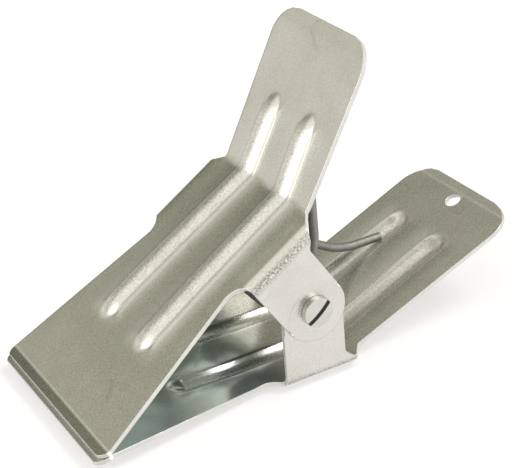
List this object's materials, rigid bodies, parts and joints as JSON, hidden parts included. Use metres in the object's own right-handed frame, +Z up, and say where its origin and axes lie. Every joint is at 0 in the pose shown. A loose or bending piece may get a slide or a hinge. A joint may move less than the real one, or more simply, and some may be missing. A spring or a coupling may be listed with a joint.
{
  "type": "tarp clip",
  "caption": "Spring tarp clip: two ribbed steel plates on a slotted screw, pressed together at their lips by a torsion spring, with a lanyard hole in the lower handle.",
  "frame": {"origin": "centre of the footprint, at the height of the surface that the clip rests on", "axes": "+X from the jaws to the handles, +Y along the pivot away from the screw's head, +Z up from the lower plate to the upper plate"},
  "size_m": [0.1312, 0.0606, 0.0858],
  "materials": {
    "sheet_steel": "satin zinc-plated sheet with a fine grain",
    "plated_steel": "bright zinc-plated turned steel",
    "spring_steel": "dark matt spring wire"
  },
  "bodies": {
    "lower": {"lower_plate": "sheet_steel", "pivot_screw": "plated_steel", "spacer_sleeve": "plated_steel", "torsion_spring": "spring_steel", "hex_nut": "plated_steel"},
    "upper": {"upper_plate": "sheet_steel"}
  },
  "joints": [
    {"name": "pivot", "type": "hinge", "parent": "lower", "child": "upper", "pos_m": [-0.001, 0, 0.02283], "axis": [0, 1, 0], "range_deg": [0, 38], "stiffness_Nm_per_rad": 1.5, "springref_deg": -29.79, "deforming": ["torsion_spring"]}
  ]
}
